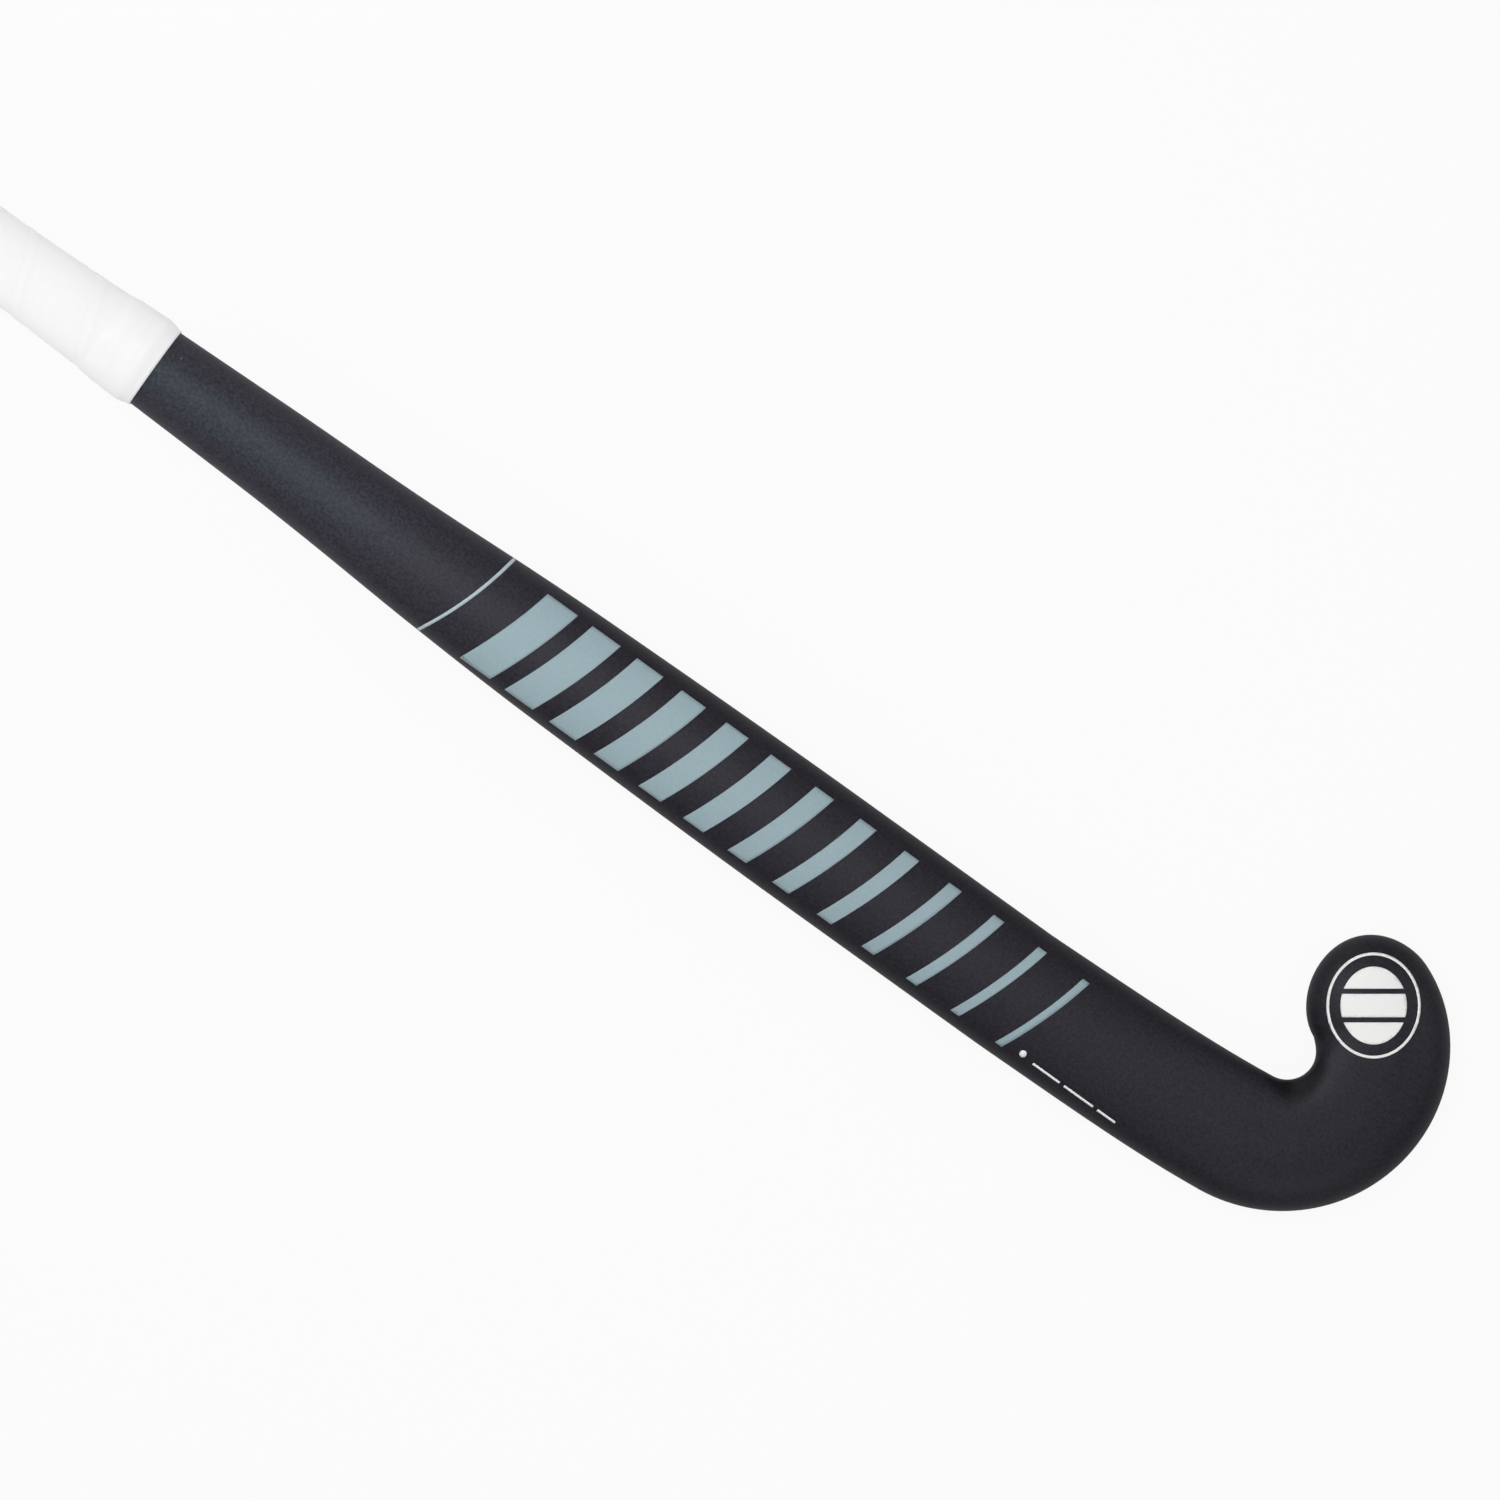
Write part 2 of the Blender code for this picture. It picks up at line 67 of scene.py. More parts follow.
def add_node(material, kind, inputs, **settings):
    """Adds a node to a material. An input is a value, or the output of another node."""
    made = material.node_tree.nodes.new(kind)
    for name, value in settings.items():
        setattr(made, name, value)
    for name, value in inputs.items():
        if isinstance(value, bpy.types.NodeSocket):
            material.node_tree.links.new(value, made.inputs[name])
        else:
            made.inputs[name].default_value = value
    return made


def new_material(name, roughness, ior):
    """A material, its shader and the place on the piece."""
    material = bpy.data.materials.new(name)
    material.use_nodes = True
    shader = material.node_tree.nodes["Principled BSDF"]
    shader.inputs["Roughness"].default_value = roughness
    shader.inputs["IOR"].default_value = ior
    here = add_node(material, "ShaderNodeTexCoord", {}).outputs["Object"]
    return material, shader, here


def plug(material, output, shader, name):
    """Feeds a node's output to an input of the shader."""
    material.node_tree.links.new(output, shader.inputs[name])


def dress(name, material):
    """Gives a CAD node its material."""
    nodes[name].data.materials.clear()
    nodes[name].data.materials.append(material)


rattan, shader, here = new_material("turned_rattan", 0.55, 1.5)
along = add_node(
    rattan,
    "ShaderNodeMapping",
    {"Vector": here, "Scale": (1 / STAVE_FIBRE_LENGTH, 1 / STAVE_FIBRE, 1 / STAVE_FIBRE)},
)
fibres = add_node(
    rattan, "ShaderNodeTexNoise", {"Vector": along.outputs[0], "Scale": 1.0, "Detail": 3.0}
)
pale = add_node(
    rattan,
    "ShaderNodeMixRGB",
    {"Fac": fibres.outputs["Fac"], "Color1": linear("#8a6a3c"), "Color2": linear("#d9b982")},
)
plug(rattan, pale.outputs[0], shader, "Base Color")
fibre_bump = add_node(
    rattan, "ShaderNodeBump", {"Height": fibres.outputs["Fac"], "Distance": 0.00008}
)
plug(rattan, fibre_bump.outputs[0], shader, "Normal")
for stave in ("front_cane_stave", "middle_cane_stave", "back_cane_stave"):
    dress(stave, rattan)


# Rubber springs. Two strips of calendered rubber sheet lie between the staves and let the
# handle give. The sheet is black with a dull, faintly grainy skin.

SHEET_GRAIN = 0.0006

sheet_rubber, shader, here = new_material("calendered_rubber", 0.8, 1.52)
grain = add_node(sheet_rubber, "ShaderNodeTexNoise", {"Vector": here, "Scale": 1 / SHEET_GRAIN})
black = add_node(
    sheet_rubber,
    "ShaderNodeMixRGB",
    {"Fac": grain.outputs["Fac"], "Color1": linear("#1f1d1b"), "Color2": linear("#35322e")},
)
plug(sheet_rubber, black.outputs[0], shader, "Base Color")
for spring in ("front_rubber_spring", "back_rubber_spring"):
    dress(spring, sheet_rubber)


# Laminated head. Eight strips of mulberry are steamed round the hook and glued side by side.
# Mulberry is golden brown, with darker growth rings that run along each strip.

GROWTH_RING = 0.0022
RING_LENGTH = 0.090

mulberry, shader, here = new_material("steamed_mulberry", 0.5, 1.5)
along = add_node(
    mulberry,
    "ShaderNodeMapping",
    {"Vector": here, "Scale": (1 / RING_LENGTH, 1 / GROWTH_RING, 1 / GROWTH_RING)},
)
rings = add_node(
    mulberry,
    "ShaderNodeTexNoise",
    {"Vector": along.outputs[0], "Scale": 1.0, "Detail": 4.0, "Distortion": 0.6},
)
golden = add_node(
    mulberry,
    "ShaderNodeMixRGB",
    {"Fac": rings.outputs["Fac"], "Color1": linear("#96682f"), "Color2": linear("#deb36d")},
)
plug(mulberry, golden.outputs[0], shader, "Base Color")
for side in ("heel", "toe"):
    for number in range(1, 5):
        dress(f"{side}_side_lamination_{number}", mulberry)


# Thread binding. Waxed linen thread is wound close over the cane and varnished. Each turn is
# a fine ridge round the handle, drawn a little wide here.

THREAD = 0.0006

waxed_thread, shader, here = new_material("waxed_linen_thread", 0.6, 1.5)
turns = add_node(
    waxed_thread,
    "ShaderNodeTexWave",
    {"Vector": here, "Scale": math.pi / (10 * THREAD), "Distortion": 0.3},
    bands_direction="X",
)
linen = add_node(
    waxed_thread,
    "ShaderNodeMixRGB",
    {"Fac": turns.outputs["Fac"], "Color1": linear("#7d673f"), "Color2": linear("#d8c391")},
)
plug(waxed_thread, linen.outputs[0], shader, "Base Color")
thread_bump = add_node(
    waxed_thread, "ShaderNodeBump", {"Height": turns.outputs["Fac"], "Distance": 0.0002}
)
plug(waxed_thread, thread_bump.outputs[0], shader, "Normal")
dress("thread_binding", waxed_thread)


# Grip underlay. A thin sleeve of closed-cell foam cushions the grip. Its cut skin is dark,
# with tiny cells that show as pits. The cells are drawn coarser than real ones.

FOAM_CELL = 0.0005

foam, shader, here = new_material("closed_cell_foam", 0.9, 1.45)
cells = add_node(foam, "ShaderNodeTexVoronoi", {"Vector": here, "Scale": 1 / FOAM_CELL})
charcoal = add_node(
    foam,
    "ShaderNodeMixRGB",
    {"Fac": cells.outputs["Distance"], "Color1": linear("#2a2a2c"), "Color2": linear("#47474a")},
)
plug(foam, charcoal.outputs[0], shader, "Base Color")
cell_bump = add_node(
    foam, "ShaderNodeBump", {"Height": cells.outputs["Distance"], "Distance": 0.0001}
)
plug(foam, cell_bump.outputs[0], shader, "Normal")
dress("grip_underlay", foam)


# Fibre sleeve. Resin-soaked fibre is moulded over the wood, rubbed down and sprayed with a
# violet-black soft-touch lacquer. The coat is painted lighter over the upper shaft and cool down
# its middle, a painted highlight, and painted darker in the crook, a painted shade. It holds a
# few pale flecks. A bevel runs round the crook.

STICK_LENGTH = 0.927
GRIP_LENGTH = 0.3887
FACE_START = 0.802
SLEEVE_START = 0.320
SLEEVE_WALL = 0.0012
HANDLE_END = 0.315
SHOULDER = 0.575
WIDTHS = [
    (HANDLE_END, 0.0272),
    (GRIP_LENGTH, 0.0314),
    (0.468, 0.0362),
    (SHOULDER, 0.0452),
    (0.690, 0.0480),
]
HANDLE_THICKNESS = 0.0260
SHAFT_THICKNESS = 0.0225
HEAD_THICKNESS = 0.0200
SHAFT_CORNER = 0.0065
HEAD_CORNER = 0.0055
HANDLE_CROWN = 2.0
SHAFT_CROWN = 2.3
HANDLE_OFFSET = 0.0011
OFFSET_CLOSES = (0.4347, 0.5197)
ARCH = 0.020
BUTT_RIM = 0.0020
CROOK_RADIUS = 0.0094
CROOK_OPENING = 0.0012
HEAD_RADIUS = 0.0594
HEAD_SHIFT_BACK = 0.0020
HEAD_SHIFT_TOE = 0.0014
HEEL_FULLNESS = 0.0022
BEND_LENGTH = 0.095
BEND_DRIFT = 0.0046
BEND_SHARE = 0.52
BEND_POWER = 4
TOE_ANGLE = 68.7
TOE_REACH = 0.0234
TOE_NARROWING = 0.0009
NARROWING_POWER = 5
TOE_LEAN = 0.0018
TOE_POWER = 1.8
CREST_POWER = 4.0
CREST_RUN = 0.055
CREST_FADES = (10.0, 62.0)
BEVELS = [(-90.0, 0.0060), (-50.0, 0.0092), (-15.0, 0.0080), (30.0, 0.0050), (75.0, 0.0)]
BEVEL_SLOPE = 0.80
CREST_SOFTNESS = 0.0018
CROOK_X = STICK_LENGTH - HEAD_RADIUS + HEAD_SHIFT_BACK
HEEL_RADIUS = HEAD_RADIUS - HEAD_SHIFT_TOE + HEEL_FULLNESS
CROOK_Y = BEND_DRIFT + (HEEL_RADIUS + CROOK_RADIUS + CROOK_OPENING) / 2
LEAST_CORNER = 0.0002
CORNER_SHARE = 0.8
CORNER_STEPS = 8
CROWN_STEPS = 48
FLAT_STEPS = 6

# The middle of the butt, from which the places along and across the stick are taken.
low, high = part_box("butt_cap")
BUTT_X = low.x
AXIS_Y = (low.y + high.y) / 2 - HANDLE_OFFSET

# Points closer than this are one point.
WELD = 1e-7

Cut = namedtuple("Cut", "centre across along half thickness corner power crest bevel end")


def through(stations, place):
    """The value at a place on a smooth curve through (place, value) stations."""
    if place <= stations[0][0]:
        return stations[0][1]
    if place >= stations[-1][0]:
        return stations[-1][1]
    gaps = [b[0] - a[0] for a, b in zip(stations, stations[1:])]
    rises = [(b[1] - a[1]) / gap for a, b, gap in zip(stations, stations[1:], gaps)]
    slopes = [0.0]
    for before, after in zip(rises, rises[1:]):
        slopes.append(0.0 if before * after <= 0 else 2 * before * after / (before + after))
    slopes.append(0.0)
    i = max(k for k, station in enumerate(stations[:-1]) if station[0] <= place)
    t = (place - stations[i][0]) / gaps[i]
    return (
        stations[i][1] * (2 * t**3 - 3 * t**2 + 1)
        + stations[i + 1][1] * (3 * t**2 - 2 * t**3)
        + gaps[i] * (slopes[i] * (t**3 - 2 * t**2 + t) + slopes[i + 1] * (t**3 - t**2))
    )


def along_stick(x, at_handle, at_shaft, at_head):
    """A size at x that passes from the handle's to the shaft's and on to the head's."""
    return through([(HANDLE_END, at_handle), (SHOULDER, at_shaft), (FACE_START, at_head)], x)


def middle_at(x):
    """Height of the middle of the stick's thickness over the floor: an arch, flat at the head."""
    u = x / STICK_LENGTH
    curved = min(x, FACE_START) / STICK_LENGTH
    rise = 4 * ARCH * (curved * (1 - curved) + (1 - 2 * curved) * (u - curved))
    flat = FACE_START / STICK_LENGTH
    at_end = 4 * ARCH * (flat * (1 - flat) + (1 - 2 * flat) * (1 - flat))
    at_butt = HANDLE_THICKNESS / 2 + BUTT_RIM
    return at_butt + (HEAD_THICKNESS / 2 - at_butt) * u + rise - at_end * u


def inner_radius(angle):
    """Edge of the crook, from its centre."""
    if angle < 0:
        return CROOK_RADIUS + CROOK_OPENING * (angle / 90) ** 2
    return CROOK_RADIUS + TOE_NARROWING * (angle / TOE_ANGLE) ** NARROWING_POWER


def outer_radius(angle):
    """Outer edge of the head, from the centre of the crook."""
    turn = math.radians(angle)
    arc = HEAD_RADIUS - HEAD_SHIFT_BACK * math.cos(turn) + HEAD_SHIFT_TOE * math.sin(turn)
    if angle < 0:
        return arc + HEEL_FULLNESS * (angle / 90) ** 2
    return arc - TOE_NARROWING * (angle / TOE_ANGLE) ** NARROWING_POWER


def shaft_cut(x):
    """The cut across the stick at x, as far as the head's bend."""
    u = max(0.0, 1 - (CROOK_X - x) / BEND_LENGTH)
    drift = through([(OFFSET_CLOSES[0], HANDLE_OFFSET), (OFFSET_CLOSES[1], 0.0)], x)
    drift += BEND_DRIFT * (BEND_SHARE * u + (1 - BEND_SHARE) * u**BEND_POWER)
    into_head = (outer_radius(-90) - inner_radius(-90)) / 2
    crown = along_stick(x, HANDLE_CROWN, SHAFT_CROWN, SHAFT_CROWN)
    into_crest = through([(CROOK_X - CREST_RUN, 0.0), (CROOK_X, 1.0)], x)
    return Cut(
        (x, drift),
        (0, -1),
        (1, 0),
        through(WIDTHS, x) / 2 * (1 - u) + into_head * u,
        along_stick(x, HANDLE_THICKNESS, SHAFT_THICKNESS, HEAD_THICKNESS),
        along_stick(x, HANDLE_THICKNESS / 2, SHAFT_CORNER, HEAD_CORNER),
        crown,
        crown + (CREST_POWER - crown) * into_crest,
        BEVELS[0][1] * into_crest,
        0.0,
    )


def head_cut(angle, end=0.0):
    """The cut across the head along a ray from the crook's centre, or past the last ray by a
    share of the toe's reach."""
    turn = math.radians(angle)
    across = (math.cos(turn), math.sin(turn))
    inner, outer = inner_radius(angle), outer_radius(angle)
    reach = (inner + outer) / 2 + TOE_LEAN * end**2
    return Cut(
        (CROOK_X + reach * across[0], CROOK_Y + reach * across[1]),
        across,
        (-across[1], across[0]),
        (outer - inner) / 2,
        HEAD_THICKNESS,
        HEAD_CORNER,
        SHAFT_CROWN,
        through([(CREST_FADES[0], CREST_POWER), (CREST_FADES[1], SHAFT_CROWN)], angle),
        through(BEVELS, angle),
        end,
    )


def lower_of(a, b):
    """The lower of two heights, with the crest between them rounded off."""
    return min(a, b) - max(CREST_SOFTNESS - abs(a - b), 0.0) ** 2 / (4 * CREST_SOFTNESS)


def ring(cut, proud=0.0):
    """The points round a cut, that far proud of the bare stick: from the flat face's heel edge
    over the crown to its toe edge, and back across the flat face."""
    corner = max(cut.corner + proud, LEAST_CORNER)
    half = (cut.half + proud) * math.sqrt(max(0.0, 1 - cut.end**TOE_POWER))
    side = corner - proud
    dome = max(0.0, 1 - cut.end**cut.power) ** (1 / cut.power)
    crown = side + (cut.thickness + proud - side) * dome
    reach = TOE_REACH + proud
    past = min(1.0, max(0.0, cut.end * reach - (reach - corner)) / corner)
    under = side - corner * math.sqrt(1 - past**2)
    width = min(corner, CORNER_SHARE * half)
    heel = []
    for k in range(CORNER_STEPS + 1):
        turn = math.pi / 2 * k / CORNER_STEPS
        heel.append((half - width + width * math.sin(turn), side - (side - under) * math.cos(turn)))
    top = []
    for k in range(1, CROWN_STEPS):
        turn = math.pi * k / CROWN_STEPS
        power = cut.power if turn < math.pi / 2 else cut.crest
        out = abs(math.cos(turn)) ** (2 / power)
        up = math.sin(turn) ** (2 / power)
        z = side + (crown - side) * up
        if cut.bevel and turn > math.pi / 2:
            z = lower_of(z, crown + BEVEL_SLOPE * (half * (1 - out) - cut.bevel))
        top.append((math.copysign(half * out, math.cos(turn)), z))
    toe = [(-v, z) for v, z in reversed(heel)]
    edge = heel[0][0]
    flat = [(edge * (2 * k / FLAT_STEPS - 1), under) for k in range(1, FLAT_STEPS)]
    points = []
    for v, z in heel + top + toe + flat:
        x = cut.centre[0] + v * cut.across[0] + cut.end * reach * cut.along[0]
        y = cut.centre[1] + v * cut.across[1] + cut.end * reach * cut.along[1]
        height = middle_at(x) - cut.thickness / 2 + z
        points.append(Vector((BUTT_X + x, AXIS_Y + y, height)))
    return points


def drawn(rings, lap_shade=None):
    """A tube drawn through rings of points: a flat grid with a row to each ring is laid on
    them, and its two long edges are merged. The painted lap shade on each point of a ring is
    kept with it."""
    bm = bmesh.new()
    count = len(rings[0])
    # Each point can keep its share of painted lap shade.
    layer = bm.verts.layers.float.new("lap_shade") if lap_shade else None
    bmesh.ops.create_grid(bm, x_segments=count, y_segments=len(rings) - 1, size=1.0)
    bm.verts.ensure_lookup_table()
    for i, vert in enumerate(bm.verts):
        row, column = divmod(i, count + 1)
        vert.co = rings[row][column % count]
        if lap_shade:
            vert[layer] = lap_shade[column % count]
    bmesh.ops.remove_doubles(bm, verts=bm.verts, dist=WELD)
    bmesh.ops.recalc_face_normals(bm, faces=bm.faces)
    return bm


def piece(name, bm, material, sharp=40):
    """A finished mesh that moves with the stick."""
    mesh = bpy.data.meshes.new(name)
    bm.to_mesh(mesh)
    mesh.shade_smooth()
    mesh.set_sharp_from_angle(angle=math.radians(sharp))
    mesh.materials.append(material)
    made = bpy.data.objects.new(name, mesh)
    bpy.context.scene.collection.objects.link(made)
    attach(made, "root")
    return made


def give_wall(made, thickness):
    """Gives a surface a wall, inwards from where it lies."""
    wall = made.modifiers.new("wall", "SOLIDIFY")
    wall.thickness = thickness
    wall.offset = -1
    return made


def steps(start, end, longest):
    """Even places from start to end, no further apart than longest."""
    count = max(1, math.ceil((end - start) / longest))
    return [start + (end - start) * k / count for k in range(count + 1)]


SLEEVE_STEP = 0.006
HEAD_STEP = 2.5
TOE_STEP = 0.05

# The grain and flecks of the lacquer are drawn coarser than real ones, which no picture of
# the whole stick would show.
LACQUER_CLOUD = 0.060
LACQUER_GRAIN = 0.0011
GRAIN_BAND = (0.3, 0.7)
GRAIN_SHADES = (0.5, 1.5)
LACQUER_ROUGHNESS = (0.43, 0.57)
PEEL_DEPTH = 0.00004
# The lacquer is painted lighter over the upper shaft, fading towards the head, with a cool band
# down its middle: a painted highlight from the strip lamp overhead.
HIGHLIGHT_FADES = (0.47, 0.60)
COOL_HIGHLIGHT_WIDTH = (0.0025, 0.0105)
COOL_HIGHLIGHT_FADES = (0.45, 0.53)
# Painted shade: a disc round the crook where the lacquer is painted darker.
CROOK_SHADE_SHIFT = (0.0036, -0.0031)
CROOK_SHADE_EDGES = (0.0097, 0.0129)
CROOK_SHADE_DEPTH = 0.3
FLECK_SPACING = 0.003
FLECK_SIZE = 0.0004
FLECK_SHARE = 0.02

lacquer, shader, here = new_material("soft_touch_lacquer", 0.50, 1.38)
shader.inputs["Specular Tint"].default_value = (0.88, 0.90, 1.0, 1.0)
clouds = add_node(
    lacquer, "ShaderNodeTexNoise", {"Vector": here, "Scale": 1 / LACQUER_CLOUD, "Detail": 2.0}
)
grain = add_node(
    lacquer, "ShaderNodeTexNoise", {"Vector": here, "Scale": 1 / LACQUER_GRAIN, "Detail": 2.0}
)
black = add_node(
    lacquer,
    "ShaderNodeMixRGB",
    {"Fac": clouds.outputs["Fac"], "Color1": linear("#1b181f"), "Color2": linear("#1f1c23")},
)
axes = add_node(lacquer, "ShaderNodeSeparateXYZ", {0: here})
highlight_fade = add_node(
    lacquer,
    "ShaderNodeMapRange",
    {
        "Value": axes.outputs["X"],
        "From Min": BUTT_X + HIGHLIGHT_FADES[0],
        "From Max": BUTT_X + HIGHLIGHT_FADES[1],
    },
    interpolation_type="SMOOTHSTEP",
)
from_axis = add_node(
    lacquer, "ShaderNodeMath", {0: axes.outputs["Y"], 1: AXIS_Y}, operation="SUBTRACT"
)
off_axis = add_node(
    lacquer, "ShaderNodeMath", {0: from_axis.outputs[0]}, operation="ABSOLUTE"
)
# A cool band of painted highlight down the middle of the upper shaft.
cool_highlight_middle = add_node(
    lacquer,
    "ShaderNodeMapRange",
    {
        "Value": off_axis.outputs[0],
        "From Min": COOL_HIGHLIGHT_WIDTH[0],
        "From Max": COOL_HIGHLIGHT_WIDTH[1],
        "To Min": 1.0,
        "To Max": 0.0,
    },
    interpolation_type="SMOOTHSTEP",
)
cool_highlight_length = add_node(
    lacquer,
    "ShaderNodeMapRange",
    {
        "Value": axes.outputs["X"],
        "From Min": BUTT_X + COOL_HIGHLIGHT_FADES[0],
        "From Max": BUTT_X + COOL_HIGHLIGHT_FADES[1],
        "To Min": 1.0,
        "To Max": 0.0,
    },
    interpolation_type="SMOOTHSTEP",
)
cool_highlight = add_node(
    lacquer,
    "ShaderNodeMath",
    {0: cool_highlight_middle.outputs[0], 1: cool_highlight_length.outputs[0]},
    operation="MULTIPLY",
)
# The upper shaft's lighter colour is a painted highlight.
painted_highlight = add_node(
    lacquer,
    "ShaderNodeMixRGB",
    {"Fac": cool_highlight.outputs[0], "Color1": linear("#29272f"), "Color2": linear("#293036")},
)
ground = add_node(
    lacquer,
    "ShaderNodeMixRGB",
    {"Fac": highlight_fade.outputs[0], "Color1": painted_highlight.outputs[0], "Color2": black.outputs[0]},
)
# Painted shade: the lacquer is painted darker within a disc round the crook, where the notch is in
# shade.
from_crook_shade = add_node(
    lacquer,
    "ShaderNodeMapping",
    {
        "Vector": here,
        "Location": (
            -BUTT_X - CROOK_X - CROOK_SHADE_SHIFT[0],
            -AXIS_Y - CROOK_Y - CROOK_SHADE_SHIFT[1],
            0,
        ),
        "Scale": (1, 1, 0),
    },
)
distance = add_node(
    lacquer, "ShaderNodeVectorMath", {0: from_crook_shade.outputs[0]}, operation="LENGTH"
)
crook_shade = add_node(
    lacquer,
    "ShaderNodeMapRange",
    {
        "Value": distance.outputs["Value"],
        "From Min": CROOK_SHADE_EDGES[0],
        "From Max": CROOK_SHADE_EDGES[1],
        "To Min": CROOK_SHADE_DEPTH,
    },
    interpolation_type="SMOOTHSTEP",
)
speckle = add_node(
    lacquer,
    "ShaderNodeMapRange",
    {
        "Value": grain.outputs["Fac"],
        "From Min": GRAIN_BAND[0],
        "From Max": GRAIN_BAND[1],
        "To Min": GRAIN_SHADES[0],
        "To Max": GRAIN_SHADES[1],
    },
)
shade = add_node(
    lacquer,
    "ShaderNodeMath",
    {0: speckle.outputs[0], 1: crook_shade.outputs[0]},
    operation="MULTIPLY",
)
mottled = add_node(
    lacquer,
    "ShaderNodeVectorMath",
    {0: ground.outputs[0], "Scale": shade.outputs[0]},
    operation="SCALE",
)
nibs = add_node(
    lacquer, "ShaderNodeTexVoronoi", {"Vector": here, "Scale": 1 / FLECK_SPACING}
)
small = add_node(
    lacquer,
    "ShaderNodeMath",
    {0: nibs.outputs["Distance"], 1: FLECK_SIZE / FLECK_SPACING / 2},
    operation="LESS_THAN",
)
lot = add_node(lacquer, "ShaderNodeSeparateColor", {"Color": nibs.outputs["Color"]})
drawn_lot = add_node(
    lacquer, "ShaderNodeMath", {0: lot.outputs[0], 1: FLECK_SHARE}, operation="LESS_THAN"
)
fleck = add_node(
    lacquer,
    "ShaderNodeMath",
    {0: small.outputs[0], 1: drawn_lot.outputs[0]},
    operation="MULTIPLY",
)
flecked = add_node(
    lacquer,
    "ShaderNodeMixRGB",
    {"Fac": fleck.outputs[0], "Color1": mottled.outputs[0], "Color2": linear("#a9aaad")},
)
plug(lacquer, flecked.outputs[0], shader, "Base Color")
rough = add_node(
    lacquer,
    "ShaderNodeMapRange",
    {
        "Value": grain.outputs["Fac"],
        "To Min": LACQUER_ROUGHNESS[0],
        "To Max": LACQUER_ROUGHNESS[1],
    },
)
plug(lacquer, rough.outputs[0], shader, "Roughness")
peel = add_node(
    lacquer,
    "ShaderNodeBump",
    {"Height": grain.outputs["Fac"], "Distance": PEEL_DEPTH, "Strength": 0.5},
)
plug(lacquer, peel.outputs[0], shader, "Normal")

cuts = [shaft_cut(x) for x in steps(SLEEVE_START, CROOK_X, SLEEVE_STEP)]
cuts += [head_cut(angle) for angle in steps(-90.0, TOE_ANGLE, HEAD_STEP)[1:]]
cuts += [
    head_cut(TOE_ANGLE, 1 - (1 - share) ** 2) for share in steps(0.0, 1.0, TOE_STEP)[1:]
]
skin = drawn([ring(cut) for cut in cuts])
sleeve = give_wall(piece("lacquered_sleeve", skin, lacquer), SLEEVE_WALL)
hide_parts("fibre_sleeve")


# Printed decoration. Ink is pad-printed on the lacquer: a fine line round the shaft, and a run
# of slanted bars that thin out towards the head. The ink is flat, slightly chalky and opaque.

INK_LIFT = 0.00006
INK_FILM = 0.00008
INK_CELL = 0.0014
OVER_STICK = 1.0
SLANT = 0.33
BOW = 3.3
BAR_COUNT = 13
BARS_FROM = 0.5545
BARS_TO = 0.7890
WIDEST_BAR = 0.0135
NARROWEST_BAR = 0.0030
BAR_HEEL = -0.0197
BAR_TOE = 0.0177
LINE_PLACE = 0.5304
LINE_WIDTH = 0.0013
LINE_SLANT = 0.325
LINE_BOW = 4.5

surface = BVHTree.FromBMesh(skin)


def in_cells(bm):
    """Cuts flat faces into small cells, so that they can bend."""
    for axis in (0, 1):
        places = [vert.co[axis] for vert in bm.verts]
        normal = Vector((axis == 0, axis == 1, 0))
        for place in steps(min(places), max(places), INK_CELL)[1:-1]:
            bmesh.ops.bisect_plane(
                bm,
                geom=bm.verts[:] + bm.edges[:] + bm.faces[:],
                plane_co=normal * place,
                plane_no=normal,
                dist=WELD,
            )
    return bm


def laid(bm):
    """Drops flat faces on the sleeve from a height over the stick."""
    for vert in bm.verts:
        above = Vector((vert.co.x, vert.co.y, OVER_STICK))
        spot, normal, _, _ = surface.ray_cast(above, (0, 0, -1))
        vert.co = spot + normal * INK_LIFT
    bmesh.ops.recalc_face_normals(bm, faces=bm.faces)
    if sum(face.normal.z for face in bm.faces) < 0:
        bmesh.ops.reverse_faces(bm, faces=bm.faces)
    return bm


def printed(name, bm, ink):
    """A film of ink on the sleeve."""
    return give_wall(piece(name, bm, ink), INK_FILM)


def ink_material(name, dark, pale):
    """Matt ink, whose density wanders a little and shows the lacquer's grain."""
    ink, shader, here = new_material(name, 0.55, 1.45)
    density = add_node(
        ink, "ShaderNodeTexNoise", {"Vector": here, "Scale": 1 / LACQUER_GRAIN, "Detail": 3.0}
    )
    tint = add_node(
        ink,
        "ShaderNodeMixRGB",
        {"Fac": density.outputs["Fac"], "Color1": linear(dark), "Color2": linear(pale)},
    )
    plug(ink, tint.outputs[0], shader, "Base Color")
    return ink


blue_grey = ink_material("blue_grey_ink", "#8ea3ab", "#9db3ba")

bars = bmesh.new()
for k in range(BAR_COUNT):
    share = k / (BAR_COUNT - 1)
    width = WIDEST_BAR + (NARROWEST_BAR - WIDEST_BAR) * share
    middle = BARS_FROM + (BARS_TO - BARS_FROM) * share
    corners = []
    for side, edge in ((-1, BAR_HEEL), (1, BAR_HEEL), (1, BAR_TOE), (-1, BAR_TOE)):
        corners.append(bars.verts.new((middle + side * width / 2, edge, 0)))
    bars.faces.new(corners)
in_cells(bars)
for vert in bars.verts:
    vert.co.x += BUTT_X + SLANT * vert.co.y - BOW * vert.co.y**2
    vert.co.y += AXIS_Y
printed("printed_bars", laid(bars), blue_grey)

edges = []
for side in (-1, 1):
    points = []
    for k, point in enumerate(ring(shaft_cut(LINE_PLACE))):
        y = point.y - AXIS_Y
        x = LINE_PLACE + side * LINE_WIDTH / 2 + LINE_SLANT * y - LINE_BOW * y**2
        points.append(ring(shaft_cut(x), INK_LIFT)[k])
    edges.append(points)
printed("printed_line", drawn(edges), ink_material("pale_ink", "#a9bac2", "#bac8cf"))


